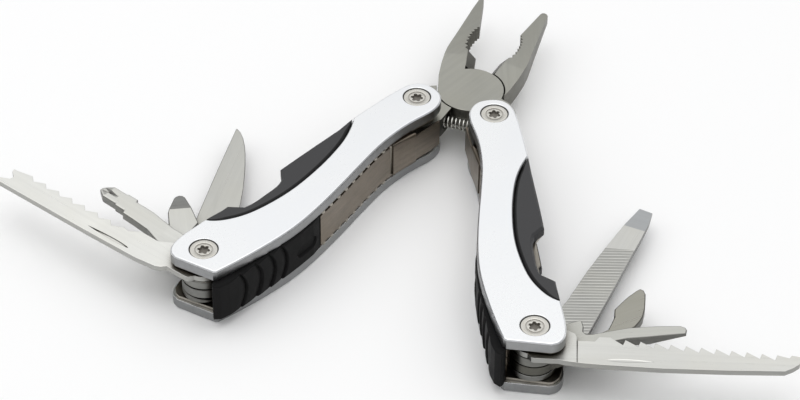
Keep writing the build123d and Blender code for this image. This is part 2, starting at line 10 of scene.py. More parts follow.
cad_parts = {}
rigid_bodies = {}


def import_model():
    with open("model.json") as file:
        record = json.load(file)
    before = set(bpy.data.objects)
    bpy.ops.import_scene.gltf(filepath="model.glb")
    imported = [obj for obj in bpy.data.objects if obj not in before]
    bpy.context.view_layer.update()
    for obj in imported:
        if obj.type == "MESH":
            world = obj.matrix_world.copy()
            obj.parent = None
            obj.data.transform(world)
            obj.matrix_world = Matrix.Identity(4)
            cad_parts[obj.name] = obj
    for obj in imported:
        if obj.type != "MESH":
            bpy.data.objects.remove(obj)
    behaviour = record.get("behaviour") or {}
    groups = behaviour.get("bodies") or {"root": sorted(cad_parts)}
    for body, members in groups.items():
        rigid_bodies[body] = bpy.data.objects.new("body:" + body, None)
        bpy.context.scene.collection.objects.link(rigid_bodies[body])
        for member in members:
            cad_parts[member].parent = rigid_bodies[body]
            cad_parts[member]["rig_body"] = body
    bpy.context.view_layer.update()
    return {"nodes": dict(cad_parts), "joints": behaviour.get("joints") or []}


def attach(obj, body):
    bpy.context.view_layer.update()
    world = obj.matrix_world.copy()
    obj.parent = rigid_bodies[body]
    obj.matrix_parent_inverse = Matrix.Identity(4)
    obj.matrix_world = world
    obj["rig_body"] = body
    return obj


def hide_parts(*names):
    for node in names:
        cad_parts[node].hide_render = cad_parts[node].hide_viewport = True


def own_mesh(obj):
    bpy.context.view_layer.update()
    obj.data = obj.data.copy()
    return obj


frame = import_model()
NODES = frame["nodes"]
random.seed(7)

MM = 0.001

# ------------------------------------------------------------------ places
JOINT = {j["name"]: j for j in frame["joints"]}


def joint_xy(name):
    p = JOINT[name]["pos_m"]
    return np.array([p[0], p[1]]) * 1000.0


PIN = joint_xy("plier_pivot")
FRONT = {"left": joint_xy("left_handle_fold"), "right": joint_xy("right_handle_fold")}
REAR = {"left": joint_xy("fish_scaler_fold"), "right": joint_xy("wood_saw_fold")}
SIDE = {"left": -1, "right": 1}
HANDLE_DIR = {
    s: math.degrees(math.atan2(*(REAR[s] - FRONT[s])[::-1])) for s in ("left", "right")
}
REACH = 77.0
UPPER_DIR, LOWER_DIR = 72.45 + 11.7, 72.45 - 11.7

# tool: (handle, world direction, body, bottom, top)
L4, L3, L2, L1 = (4.08, 5.58), (5.86, 8.36), (8.64, 11.14), (11.42, 12.92)
TOOLS = {
    "fish_scaler": ("left", 142.59, L1),
    "phillips_driver": ("left", 139.78, L2),
    "slotted_driver": ("left", 97.99, L3),
    "knife_blade": ("left", 76.2, L4),
    "wood_saw": ("right", -2.36, L1),
    "pry_bar": ("right", 4.47, L2),
    "can_opener": ("right", 27.76, L3),
    "file_blade": ("right", 66.34, L4),
}


class Local:
    """A flat local frame: x along a direction, y to the left of it times side."""

    def __init__(self, origin, angle, side=1):
        self.o = np.array(origin, float)
        a = math.radians(angle)
        self.x = np.array([math.cos(a), math.sin(a)])
        self.y = np.array([-math.sin(a), math.cos(a)]) * side
        self.side = side
        self.angle = angle

    def out(self, pts):
        pts = np.asarray(pts, float)
        return self.o + pts[..., :1] * self.x + pts[..., 1:2] * self.y

    def into(self, pts):
        d = np.asarray(pts, float) - self.o
        return np.stack([d @ self.x, d @ self.y], axis=-1)


HANDLE = {s: Local(FRONT[s], HANDLE_DIR[s], SIDE[s]) for s in ("left", "right")}
TOOL_FRAME = {
    k: Local(REAR[s], d, 1 if s == "left" else -1) for k, (s, d, _) in TOOLS.items()
}


# ------------------------------------------------------------------ outlines
def area(loop):
    x, y = loop[:, 0], loop[:, 1]
    return 0.5 * float(np.sum(x * np.roll(y, -1) - np.roll(x, -1) * y))


def tidy(loop, tol=2.5e-4):
    """Drops points that lie on the line between their neighbours."""
    pts = [p for p in loop]
    changed = True
    while changed and len(pts) > 3:
        changed = False
        keep = []
        n = len(pts)
        skip = False
        for i in range(n):
            if skip:
                skip = False
                keep.append(pts[i])
                continue
            a, b, c = pts[i - 1], pts[i], pts[(i + 1) % n]
            d = c - a
            L = math.hypot(*d)
            e = abs(d[0] * (b - a)[1] - d[1] * (b - a)[0]) / L if L > 1e-9 else 0.0
            if e < tol and np.dot(b - a, c - b) > 0 or math.hypot(*(b - a)) < 1e-4:
                changed = True
                skip = True
                continue
            keep.append(pts[i])
        pts = keep
    return np.array(pts)


def declutter(loop, least=0.04):
    """Drops points that crowd the one before them."""
    keep = [loop[0]]
    for p in loop[1:]:
        if math.hypot(*(p - keep[-1])) > least:
            keep.append(p)
    while len(keep) > 3 and math.hypot(*(keep[0] - keep[-1])) <= least:
        keep.pop()
    return np.array(keep)


def sections(node, z):
    """Outlines of a CAD node at height z mm: outer ones run anticlockwise, holes clockwise."""
    bm = bmesh.new()
    bm.from_mesh(NODES[node].data)
    bmesh.ops.remove_doubles(bm, verts=bm.verts, dist=2e-7)
    bmesh.ops.bisect_plane(
        bm, geom=bm.verts[:] + bm.edges[:] + bm.faces[:], dist=1e-8,
        plane_co=(0, 0, z * MM), plane_no=(0, 0, 1), clear_outer=True, clear_inner=True,
    )
    bmesh.ops.remove_doubles(bm, verts=bm.verts, dist=2e-7)
    left = dict.fromkeys(sorted(bm.edges, key=lambda q: tuple(round(c, 7) for v in q.verts for c in v.co[:2])))
    loops = []
    while left:
        e = next(iter(left))
        del left[e]
        start, v = e.verts[0], e.verts[1]
        chain = [start, v]
        while v is not start:
            nxt = [q for q in v.link_edges if q in left]
            if not nxt:
                break
            q = nxt[0]
            del left[q]
            v = q.other_vert(v)
            if v is not start:
                chain.append(v)
        if len(chain) > 2 and v is start:
            loops.append(np.array([[p.co.x, p.co.y] for p in chain]) * 1000.0)
    bm.free()
    loops = [declutter(tidy(l)) for l in loops]
    loops.sort(key=lambda l: -abs(area(l)))
    out = []
    for l in loops:
        inside = sum(contains(o, l[0]) for o in loops if o is not l) % 2
        if (area(l) > 0) == bool(inside):
            l = l[::-1]
        out.append(l)
    return out


def contains(loop, p):
    x, y = loop[:, 0], loop[:, 1]
    x2, y2 = np.roll(x, -1), np.roll(y, -1)
    cross = (y > p[1]) != (y2 > p[1])
    with np.errstate(divide="ignore", invalid="ignore"):
        xi = x + (p[1] - y) * (x2 - x) / (y2 - y)
    return bool(np.sum(cross & (p[0] < xi)) % 2)


def split_at(loop, lines):
    """Adds a point wherever a line (two points) crosses the loop."""
    out = []
    n = len(loop)
    for i in range(n):
        a, b = loop[i], loop[(i + 1) % n]
        out.append(a)
        hits = []
        d = b - a
        for p, q in lines:
            p, q = np.array(p, float), np.array(q, float)
            e = q - p
            det = d[0] * -e[1] + d[1] * e[0]
            if abs(det) < 1e-12:
                continue
            r = p - a
            t = (r[0] * -e[1] + r[1] * e[0]) / det
            s = (d[0] * r[1] - d[1] * r[0]) / det
            if 1e-3 < t < 1 - 1e-3 and 0 <= s <= 1:
                hits.append(t)
        last = 0.0
        L = math.hypot(*d)
        for t in sorted(hits):
            if (t - last) * L > 0.03 and (1 - t) * L > 0.03:
                out.append(a + d * t)
                last = t
    return np.array(out)


def densify(loop, step):
    """Divides long edges of a loop so that no edge is longer than step."""
    out = []
    n = len(loop)
    for i in range(n):
        a, b = loop[i], loop[(i + 1) % n]
        k = max(1, int(math.ceil(math.hypot(*(b - a)) / step)))
        for j in range(k):
            out.append(a + (b - a) * j / k)
    return np.array(out)


def normals_of(loop):
    """Inward edge normals and, for each vertex, the mitre vector for a unit inset."""
    d = np.roll(loop, -1, 0) - loop
    L = np.hypot(d[:, 0], d[:, 1])[:, None]
    d = d / np.maximum(L, 1e-9)
    en = np.stack([-d[:, 1], d[:, 0]], axis=1)       # to the left: into the material
    prev = np.roll(en, 1, 0)
    dot = np.sum(en * prev, axis=1)
    mitre = (en + prev) / np.maximum(1.0 + dot, 0.30)[:, None]
    convex = (np.roll(d, 1, 0)[:, 0] * d[:, 1] - np.roll(d, 1, 0)[:, 1] * d[:, 0]) > 0
    return en, mitre, dot, convex, L[:, 0]


def round_profile(r, n=3):
    """(inset, drop, horizontal part, vertical part) from the side to the face."""
    out = []
    for k in range(n + 1):
        a = math.pi / 2 * k / n
        out.append((r * (1 - math.cos(a)), r * (1 - math.sin(a)), math.cos(a), math.sin(a)))
    return out


def bevel_profile(w, h, r, n=2):
    """A flat bevel w wide on the face and h tall on the side, both its edges eased by r."""
    ang = math.atan2(w, h)
    out = []
    t = r * math.tan(ang / 2)
    L = math.hypot(w, h)
    # lower easing: from the side up to the bevel
    for k in range(n + 1):
        a = ang * k / n
        out.append((r * (1 - math.cos(a)), h + t - r * math.sin(a), math.cos(a), math.sin(a)))
    t2 = r * math.tan((math.pi / 2 - ang) / 2)
    cx, cz = w + t2, r
    for k in range(n + 1):
        a = ang + (math.pi / 2 - ang) * k / n
        out.append((cx - r * math.cos(a), cz - r * math.sin(a), math.cos(a), math.sin(a)))
    return out


SHARP = math.cos(math.radians(24))


def plate(
    name, loops, z0, z1, top, bottom, loc=None, relief=None, relief_low=None,
    creases=(), steiner=(), taper=0.15, tip=0.04, bores=(),
):
    """A plate with eased edges from outlines in mm (in the local frame loc if given).

    top and bottom are edge profiles. relief(x, y) is how far the upper face lies
    below z1, relief_low how far the lower face lies above z0; creases are lines the
    mesh follows and steiner extra points of the faces.
    """
    flipped = loc is not None and loc.side < 0
    loops = [np.array(l, float) for l in loops]
    if creases:
        loops = [split_at(l, creases) for l in loops]
    relief = relief or (lambda x, y: 0.0)
    relief_low = relief_low if relief_low is not None else relief

    def low_at(p):
        return z0 + relief_low(p[0], p[1])

    def high_at(p):
        return z1 - relief(p[0], p[1])

    verts, faces, fnormals = [], [], []

    def place(p, z):
        q = loc.out(np.array(p)) if loc is not None else p
        verts.append((q[0] * MM, q[1] * MM, z * MM))
        return len(verts) - 1

    def turn(n2):
        if loc is None:
            return n2
        return n2[0] * loc.x + n2[1] * loc.y

    capsets = {"top": [], "bottom": []}
    for loop in loops:
        n = len(loop)
        en, mitre, dot, convex, L = normals_of(loop)
        # gentler easing near acute tips
        scale = np.ones(n)
        arc = np.concatenate([[0], np.cumsum(L)])
        total = arc[-1]
        acute = [i for i in range(n) if convex[i] and dot[i] < math.cos(math.radians(115))]
        if acute and total > 0:
            rmax = max(p[0] for p in list(top) + list(bottom)) or 1.0
            for i in acute:
                d = np.abs(arc[:n] - arc[i])
                d = np.minimum(d, total - d)
                lim = (tip + taper * d) / rmax
                scale = np.minimum(scale, np.clip(lim, 0, 1))
        short = np.minimum(L, np.roll(L, 1))
        sharp = dot < SHARP
        rings = []
        t = np.array([high_at(p) - low_at(p) for p in loop])
        hmax = max([p[1] for p in top] + [p[1] for p in bottom] + [1e-6])
        scale = np.minimum(scale, np.clip(0.42 * t / hmax, 0, 1))
        lo = np.array([low_at(p) for p in loop])
        hi = np.array([high_at(p) for p in loop])
        for inset, drop, nh, nv in bottom[::-1]:
            idx = [place(loop[i] + mitre[i] * inset * scale[i], lo[i] + drop * scale[i]) for i in range(n)]
            rings.append((idx, nh, -nv, inset))
        for inset, drop, nh, nv in top:
            idx = [place(loop[i] + mitre[i] * inset * scale[i], hi[i] - drop * scale[i]) for i in range(n)]
            rings.append((idx, nh, nv, inset))
        outward = []
        for i in range(n):
            prev = en[i - 1]
            if sharp[i]:
                outward.append((-prev, -en[i]))
            else:
                m = en[i] + prev
                m = m / max(np.hypot(*m), 1e-9)
                outward.append((-m, -m))
        for k in range(len(rings) - 1):
            a, b = rings[k], rings[k + 1]
            for i in range(n):
                j = (i + 1) % n
                faces.append([a[0][i], a[0][j], b[0][j], b[0][i]])
                ns = []
                for ring, m, which in ((a, i, 1), (a, j, 0), (b, j, 0), (b, i, 1)):
                    o2 = turn(np.array(outward[m][which]))
                    ns.append((o2[0] * ring[1], o2[1] * ring[1], ring[2]))
                fnormals.append(ns)
        capsets["bottom"].append((loop + mitre * (bottom[-1][0] * scale)[:, None], rings[0][0]))
        capsets["top"].append((loop + mitre * (top[-1][0] * scale)[:, None], rings[-1][0]))

    for cx, cy, prof in bores:
        m = 72
        ring_pts, rings = [], []
        for r, z in prof:
            pts = [
                np.array([cx + r * math.cos(-2 * math.pi * k / m), cy + r * math.sin(-2 * math.pi * k / m)])
                for k in range(m)
            ]
            rings.append([place(p, z) for p in pts])
            ring_pts.append(np.array(pts))
        seg = []
        for (ra, za), (rb, zb) in zip(prof, prof[1:]):
            v = np.array([-(zb - za), rb - ra])
            seg.append(v / max(np.hypot(*v), 1e-9))
        for k in range(len(rings) - 1):
            ends = []
            for other in (k - 1, k + 1):
                if 0 <= other < len(seg) and float(seg[k] @ seg[other]) > 0.75:
                    v = seg[k] + seg[other]
                    ends.append(v / np.hypot(*v))
                else:
                    ends.append(seg[k])
            for i in range(m):
                j = (i + 1) % m
                faces.append([rings[k][i], rings[k][j], rings[k + 1][j], rings[k + 1][i]])
                ns = []
                for q, e in ((i, 0), (j, 0), (j, 1), (i, 1)):
                    a = -2 * math.pi * q / m
                    o2 = turn(np.array([math.cos(a), math.sin(a)]))
                    ns.append((o2[0] * ends[e][0], o2[1] * ends[e][0], ends[e][1]))
                fnormals.append(ns)
        capsets["bottom"].append((ring_pts[0], rings[0]))
        capsets["top"].append((ring_pts[-1], rings[-1]))

    eps = 0.02

    def slope(fn, p, c):
        q = (p[0] * 0.85 + c[0] * 0.15, p[1] * 0.85 + c[1] * 0.15)
        return np.array([
            (fn(q[0] + eps, q[1]) - fn(q[0] - eps, q[1])) / (2 * eps),
            (fn(q[0], q[1] + eps) - fn(q[0], q[1] - eps)) / (2 * eps),
        ])

    for which in ("top", "bottom"):
        pts, edges, ids = [], [], []
        for ring, idx in capsets[which]:
            s = len(pts)
            m = len(ring)
            pts += [Vector((float(p[0]), float(p[1]))) for p in ring]
            ids += idx
            edges += [(s + i, s + (i + 1) % m) for i in range(m)]
        nring = len(pts)
        nedge = len(edges)
        for p, q in creases:
            s = len(pts)
            pts += [Vector((float(p[0]), float(p[1]))), Vector((float(q[0]), float(q[1])))]
            edges.append((s, s + 1))
        bounds = [c[0] for c in capsets[which]]
        for p in steiner:
            if sum(contains(b, p) for b in bounds) % 2:
                pts.append(Vector((float(p[0]), float(p[1]))))
        ov, oe, of, iv, ie, _ = geometry.delaunay_2d_cdt(pts, edges, [], 1, 1e-6, True)
        index = {}
        for k, src in enumerate(iv):
            hit = [q for q in src if q < nring]
            if hit:
                index[k] = ids[hit[0]]
        fn = relief if which == "top" else relief_low
        height = high_at if which == "top" else low_at
        used = set()
        tris = []
        for f in of:
            c = sum((ov[k] for k in f), Vector((0, 0))) / len(f)
            if sum(contains(b, c) for b in bounds) % 2:
                tris.append(list(f))
        # slivers that lie along a straight run of the rim double its edges
        count = {}
        for (a, b), src in zip(oe, ie):
            if any(q < nedge for q in src):
                count[(min(a, b), max(a, b))] = 1

        def rims(f):
            return [(min(a, b), max(a, b)) for a, b in zip(f, f[1:] + f[:1])]

        def extent(f):
            return abs(sum(ov[f[i]].x * ov[f[i - 2]].y - ov[f[i - 2]].x * ov[f[i]].y for i in range(3))) / 2

        for f in tris:
            for e_ in rims(f):
                count[e_] = count.get(e_, 0) + 1
        peeled = True
        while peeled:
            peeled = False
            for f in list(tris):
                if extent(f) < 2e-3 and any(count[e_] == 1 for e_ in rims(f)):
                    tris.remove(f)
                    for e_ in rims(f):
                        count[e_] -= 1
                    peeled = True
        for f in tris:
            used.update(f)
        # points that the creases added on the rim of the cap
        extra = {}
        for (a, b), src in zip(oe, ie):
            hit = [q for q in src if q < nedge]
            if hit:
                for k in (a, b):
                    if k not in index and k in used:
                        extra.setdefault(hit[0], set()).add(k)
        for k in used:
            if k not in index:
                p = ov[k]
                index[k] = place((p.x, p.y), height((p.x, p.y)))
        sgn = 1.0 if which == "top" else -1.0
        for f in tris:
            f = list(f)
            c = sum((ov[k] for k in f), Vector((0, 0))) / len(f)
            ns = []
            for k in f:
                g = slope(fn, ov[k], c)
                if abs(g[0]) + abs(g[1]) < 1e-7:
                    ns.append((0.0, 0.0, sgn))
                else:
                    g = turn(g)
                    v = Vector((g[0], g[1], sgn)).normalized()
                    ns.append(tuple(v))
            g = [index[k] for k in f]
            if len(set(g)) < 3:
                continue
            ar = sum(ov[f[i]].x * ov[f[(i + 1) % 3]].y - ov[f[(i + 1) % 3]].x * ov[f[i]].y for i in range(3))
            if (ar < 0) == (which == "top"):
                g, ns = g[::-1], ns[::-1]
            faces.append(g)
            fnormals.append(ns)
        # stitch those extra points into the last strip of side faces
        if extra:
            lookup = {}
            for ei, ks in extra.items():
                a, b = edges[ei]
                pa, pb = pts[a], pts[b]
                order = sorted(ks, key=lambda k: (ov[k] - pa).length)
                lookup[(ids[a], ids[b])] = [index[k] for k in order]
            for fi, f in enumerate(faces):
                if len(f) != 4:
                    continue
                for k in range(4):
                    a, b = f[k], f[(k + 1) % 4]
                    if (a, b) in lookup:
                        add, seq = lookup[(a, b)], k
                    elif (b, a) in lookup:
                        add, seq = lookup[(b, a)][::-1], k
                    else:
                        continue
                    nn = fnormals[fi]
                    na, nb = nn[seq], nn[(seq + 1) % 4]
                    mid = tuple((Vector(na) + Vector(nb)).normalized())
                    faces[fi] = f[: seq + 1] + add + f[seq + 1:]
                    fnormals[fi] = nn[: seq + 1] + [mid] * len(add) + nn[seq + 1:]
                    break
    if flipped:
        faces = [f[::-1] for f in faces]
        fnormals = [n[::-1] for n in fnormals]
    return solid(name, verts, faces, fnormals)


def solid(name, verts, faces, fnormals=None):
    me = bpy.data.meshes.new(name)
    me.from_pydata(verts, [], faces)
    me.update()
    for p in me.polygons:
        p.use_smooth = True
    if fnormals is not None:
        flat = []
        for p, ns in zip(me.polygons, fnormals):
            for nrm in ns:
                v = Vector(nrm)
                flat.append(tuple(v.normalized()) if v.length > 1e-9 else tuple(p.normal))
        me.normals_split_custom_set(flat)
    ob = bpy.data.objects.new(name, me)
    bpy.context.scene.collection.objects.link(ob)
    return ob


def finish_piece(ob, node, mat, mats=()):
    body = NODES[node]["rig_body"]
    ob.data.materials.append(mat)
    for m in mats:
        ob.data.materials.append(m)
    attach(ob, body)
    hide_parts(node)
    return ob


# ------------------------------------------------------------------ materials
class Graph:
    """A small helper for building a material's nodes."""

    def __init__(self, name):
        self.mat = bpy.data.materials.new(name)
        self.mat.use_nodes = True
        self.t = self.mat.node_tree
        self.t.nodes.clear()
        self.out = self.t.nodes.new("ShaderNodeOutputMaterial")
        self.bsdf = self.t.nodes.new("ShaderNodeBsdfPrincipled")
        self.link(self.bsdf.outputs[0], self.out.inputs[0])
        self.coord = self.t.nodes.new("ShaderNodeTexCoord").outputs["Object"]

    def link(self, a, b):
        self.t.links.new(a, b)

    def put(self, sock, value):
        if isinstance(value, bpy.types.NodeSocket):
            self.link(value, sock)
        else:
            sock.default_value = value

    def set(self, **kw):
        for k, v in kw.items():
            self.put(self.bsdf.inputs[k.replace("_", " ")], v)

    def mapped(self, scale, angle=0.0, origin=(0, 0, 0), source=None):
        """Object coordinates moved to origin, turned so x lies along angle, then scaled."""
        sub = self.t.nodes.new("ShaderNodeVectorMath")
        sub.operation = "SUBTRACT"
        self.put(sub.inputs[0], source or self.coord)
        sub.inputs[1].default_value = origin
        rot = self.t.nodes.new("ShaderNodeVectorRotate")
        rot.rotation_type = "Z_AXIS"
        self.link(sub.outputs[0], rot.inputs["Vector"])
        rot.inputs["Angle"].default_value = -math.radians(angle)
        mul = self.t.nodes.new("ShaderNodeVectorMath")
        mul.operation = "MULTIPLY"
        self.link(rot.outputs[0], mul.inputs[0])
        mul.inputs[1].default_value = scale
        return mul.outputs[0]

    def noise(self, vec, scale=1.0, detail=2.0, rough=0.5, distort=0.0):
        n = self.t.nodes.new("ShaderNodeTexNoise")
        self.link(vec, n.inputs["Vector"])
        n.inputs["Scale"].default_value = scale
        n.inputs["Detail"].default_value = detail
        n.inputs["Roughness"].default_value = rough
        n.inputs["Distortion"].default_value = distort
        return n.outputs["Fac"]

    def voronoi(self, vec, scale, feature="F1"):
        n = self.t.nodes.new("ShaderNodeTexVoronoi")
        n.feature = feature
        self.link(vec, n.inputs["Vector"])
        n.inputs["Scale"].default_value = scale
        return n.outputs["Distance"]

    def math(self, op, a, b=0.0, c=0.0, clamp=False):
        n = self.t.nodes.new("ShaderNodeMath")
        n.operation = op
        n.use_clamp = clamp
        for i, v in enumerate((a, b, c)):
            if i < len(n.inputs):
                self.put(n.inputs[i], v)
        return n.outputs[0]

    def span(self, fac, a, b, lo=0.0, hi=1.0):
        """Maps fac from lo..hi to a..b, clamped."""
        n = self.t.nodes.new("ShaderNodeMapRange")
        self.put(n.inputs["Value"], fac)
        n.inputs["From Min"].default_value = lo
        n.inputs["From Max"].default_value = hi
        n.inputs["To Min"].default_value = a
        n.inputs["To Max"].default_value = b
        return n.outputs[0]

    def mix(self, fac, a, b, mode="MIX"):
        n = self.t.nodes.new("ShaderNodeMix")
        n.data_type = "RGBA"
        n.blend_type = mode
        n.clamp_result = True
        self.put(n.inputs["Factor"], fac)
        self.put(n.inputs[6], a if isinstance(a, bpy.types.NodeSocket) else (*a, 1.0))
        self.put(n.inputs[7], b if isinstance(b, bpy.types.NodeSocket) else (*b, 1.0))
        return n.outputs[2]

    def bump(self, height, strength, distance, normal=None):
        n = self.t.nodes.new("ShaderNodeBump")
        self.link(height, n.inputs["Height"])
        n.inputs["Strength"].default_value = strength
        n.inputs["Distance"].default_value = distance
        if normal is not None:
            self.link(normal, n.inputs["Normal"])
        return n.outputs[0]

    def occlusion(self, distance=0.0015, samples=6):
        n = self.t.nodes.new("ShaderNodeAmbientOcclusion")
        n.samples = samples
        n.inputs["Distance"].default_value = distance
        return n.outputs["AO"]

    def facing_up(self):
        g = self.t.nodes.new("ShaderNodeNewGeometry")
        s = self.t.nodes.new("ShaderNodeSeparateXYZ")
        self.link(g.outputs["Normal"], s.inputs[0])
        return s.outputs["Z"]


def scaled(c, k):
    return tuple(min(1.0, max(0.0, v * k)) for v in c)


def brushed(name, base, rough, angle, streak=0.10, bump=0.25, aniso=0.35, crevice_shade=0.0, wide=1.0, tint=None, deep=0.0):
    g = Graph(name)
    fine = g.noise(g.mapped((90, 9000 * wide, 9000 * wide), angle), 1.0, 3.0, 0.6)
    band = g.noise(g.mapped((22, 900 * wide, 900 * wide), angle), 1.0, 3.0, 0.55)
    cloud = g.noise(g.mapped((70, 90, 90), angle), 1.0, 3.0, 0.5)
    blotch = g.noise(g.mapped((260, 300, 300), angle), 1.0, 2.0, 0.5)
    f = g.math("ADD", g.math("MULTIPLY", fine, 0.45), g.math("MULTIPLY", band, 0.55))
    lo, hi = scaled(base, 1 - streak), scaled(base, 1 + streak)
    col = g.mix(g.span(f, 0, 1, 0.30, 0.70), lo, hi)
    warm = tint or (base[0] * 1.0, base[1] * 0.985, base[2] * 0.94)
    col = g.mix(g.span(cloud, 0.0, 0.55, 0.40, 0.75), col, warm)
    # painted shade: an occlusion mask darkens the colour in creases and narrow gaps
    if crevice_shade:
        ao = g.occlusion(0.0012)
        col = g.mix(g.math("MULTIPLY", g.span(ao, crevice_shade, 0.0, 0.35, 0.95), 1.0), col, scaled(base, 0.16))
    if deep:
        # painted shade: a wide occlusion mask turns whatever lies deep inside the handles dark brown
        far = g.occlusion(0.007, 8)
        deep_shade_brown = (base[0] * 0.13, base[1] * 0.105, base[2] * 0.08)
        col = g.mix(g.span(far, deep, 0.0, 0.40, 0.79), col, deep_shade_brown)
    rg = g.math("ADD", g.span(f, rough - 0.07, rough + 0.08, 0.3, 0.7), g.span(blotch, -0.03, 0.04, 0.35, 0.7))
    nrm = g.bump(f, bump, 0.00003)
    g.set(Base_Color=col, Metallic=1.0, Roughness=rg, Normal=nrm)
    g.bsdf.inputs["Anisotropic"].default_value = aniso
    return g.mat


def turned(name, base, rough, centre, crevice_shade=0.5):
    """A lathe-turned face: fine rings round a vertical axis."""
    g = Graph(name)
    v = g.mapped((1, 1, 0), 0, (centre[0] * MM, centre[1] * MM, 0))
    ln = g.t.nodes.new("ShaderNodeVectorMath")
    ln.operation = "LENGTH"
    g.link(v, ln.inputs[0])
    r = ln.outputs["Value"]
    comb = g.t.nodes.new("ShaderNodeCombineXYZ")
    g.link(g.math("MULTIPLY", r, 9000.0), comb.inputs[0])
    rings = g.noise(comb.outputs[0], 1.0, 3.0, 0.6)
    spots = g.noise(g.mapped((900, 900, 900)), 1.0, 3.0, 0.55)
    col = g.mix(g.span(rings, 0, 1, 0.3, 0.7), scaled(base, 0.88), scaled(base, 1.08))
    col = g.mix(g.span(spots, 0, 0.35, 0.5, 0.75), col, (base[0] * 0.86, base[1] * 0.80, base[2] * 0.70))
    # painted shade: an occlusion mask darkens the colour in the recess and the gaps round the head
    ao = g.occlusion(0.0005)
    col = g.mix(g.span(ao, crevice_shade, 0.0, 0.20, 0.85), col, (0.06, 0.045, 0.030))
    # painted shade with dirt: the recess and the ring groove, below both end faces, are darkened, and the dirt there
    # makes them duller and less metallic
    sep = g.t.nodes.new("ShaderNodeSeparateXYZ")
    g.link(g.coord, sep.inputs[0])
    zz = sep.outputs["Z"]
    below = g.math("MULTIPLY", g.span(zz, 1.0, 0.0, 0.01642, 0.01668), g.span(zz, 0.0, 1.0, 0.00032, 0.00058))
    col = g.mix(g.math("MULTIPLY", below, 0.80), col, (0.060, 0.048, 0.036))
    g.set(Base_Color=col, Metallic=g.math("SUBTRACT", 1.0, g.math("MULTIPLY", below, 0.7)),
          Roughness=g.math("ADD", g.span(rings, rough - 0.06, rough + 0.08, 0.3, 0.7), g.math("MULTIPLY", below, 0.3)),
          Normal=g.bump(rings, 0.25, 0.00003))
    return g.mat


def satin(name, base, rough):
    """Bead-blasted, clear-finished aluminium: a soft even silver."""
    g = Graph(name)
    grain = g.noise(g.mapped((1, 1, 1)), 14000.0, 2.0, 0.6)
    mottle = g.noise(g.mapped((1, 1, 1)), 1900.0, 3.0, 0.55)
    cloud = g.noise(g.mapped((1, 1, 1)), 55.0, 2.0, 0.5)
    col = g.mix(g.span(mottle, 0, 1, 0.3, 0.7), scaled(base, 0.988), scaled(base, 1.008))
    col = g.mix(g.span(cloud, 0, 0.6, 0.40, 0.70), col, (base[0] * 0.975, base[1] * 0.985, base[2] * 1.0))
    # painted shade: an occlusion mask darkens the silver in tight corners and gaps
    ao = g.occlusion(0.0006)
    col = g.mix(g.span(ao, 0.45, 0.0, 0.30, 0.85), col, (0.13, 0.13, 0.135))
    rg = g.math("ADD", g.span(mottle, rough - 0.03, rough + 0.04, 0.3, 0.7), g.span(cloud, -0.02, 0.03, 0.35, 0.7))
    nrm = g.bump(grain, 0.02, 0.00002)
    g.set(Base_Color=col, Metallic=1.0, Roughness=rg, Normal=nrm)
    return g.mat


def moulded(name, base, rough, grain=5200.0, depth=0.00006, wear=0.0):
    """Textured moulded plastic."""
    g = Graph(name)
    cells = g.voronoi(g.mapped((1, 1, 1)), grain)
    fine = g.noise(g.mapped((1, 1, 1)), grain * 1.8, 3.0, 0.6)
    broad = g.noise(g.mapped((1, 1, 1)), 240.0, 3.0, 0.5)
    h = g.math("ADD", g.math("MULTIPLY", cells, 0.6), g.math("MULTIPLY", fine, 0.5))
    col = g.mix(g.span(fine, 0, 1, 0.3, 0.7), scaled(base, 0.84), scaled(base, 1.18))
    col = g.mix(g.span(broad, 0, 0.45, 0.42, 0.72), col, scaled(base, 1.25))
    # painted shade: an occlusion mask darkens the plastic in corners and gaps
    ao = g.occlusion(0.0024, 8)
    col = g.mix(g.span(ao, 0.9, 0.0, 0.35, 0.93), col, scaled(base, 0.12))
    rg = g.math("ADD", g.span(fine, rough - 0.06, rough + 0.07, 0.3, 0.7), g.span(broad, -0.03, 0.05, 0.35, 0.7))
    g.set(Base_Color=col, Roughness=rg, Normal=g.bump(h, 0.35, depth))
    g.bsdf.inputs["Specular IOR Level"].default_value = 0.42
    return g.mat


def rubbery(name, base, rough):
    g = Graph(name)
    fine = g.noise(g.mapped((1, 1, 1)), 9500.0, 4.0, 0.65)
    broad = g.noise(g.mapped((1, 1, 1)), 330.0, 3.0, 0.55)
    dust = g.noise(g.mapped((1, 1, 1)), 2600.0, 4.0, 0.7)
    col = g.mix(g.span(broad, 0, 1, 0.35, 0.7), scaled(base, 0.8), scaled(base, 1.3))
    col = g.mix(g.span(dust, 0.0, 0.10, 0.64, 0.82), col, (0.07, 0.07, 0.069))
    # painted shade: an occlusion mask darkens the rubber in corners and gaps
    ao = g.occlusion(0.0012)
    col = g.mix(g.span(ao, 0.6, 0.0, 0.3, 0.9), col, scaled(base, 0.3))
    rg = g.math("ADD", g.span(fine, rough - 0.06, rough + 0.08, 0.3, 0.7), g.span(broad, -0.05, 0.05, 0.35, 0.7))
    g.set(Base_Color=col, Roughness=rg, Normal=g.bump(fine, 0.30, 0.00005))
    g.bsdf.inputs["Specular IOR Level"].default_value = 0.12
    return g.mat


SILVER = (0.91, 0.92, 0.93)
STEEL = (0.700, 0.700, 0.665)
CENTRE_DIR = (UPPER_DIR + LOWER_DIR) / 2
FORGED = (0.385, 0.383, 0.348)
# painted shade: the web's dark brown steel
SHEET = (0.235, 0.205, 0.170)
GROUND = {
    "fish_scaler": (0.82, 0.82, 0.785), "phillips_driver": (0.70, 0.70, 0.665),
    "slotted_driver": (0.66, 0.66, 0.625), "knife_blade": (0.545, 0.545, 0.515),
    "wood_saw": (0.67, 0.67, 0.64), "pry_bar": (0.54, 0.54, 0.505),
    "can_opener": (0.36, 0.353, 0.312), "file_blade": (0.61, 0.61, 0.585),
}

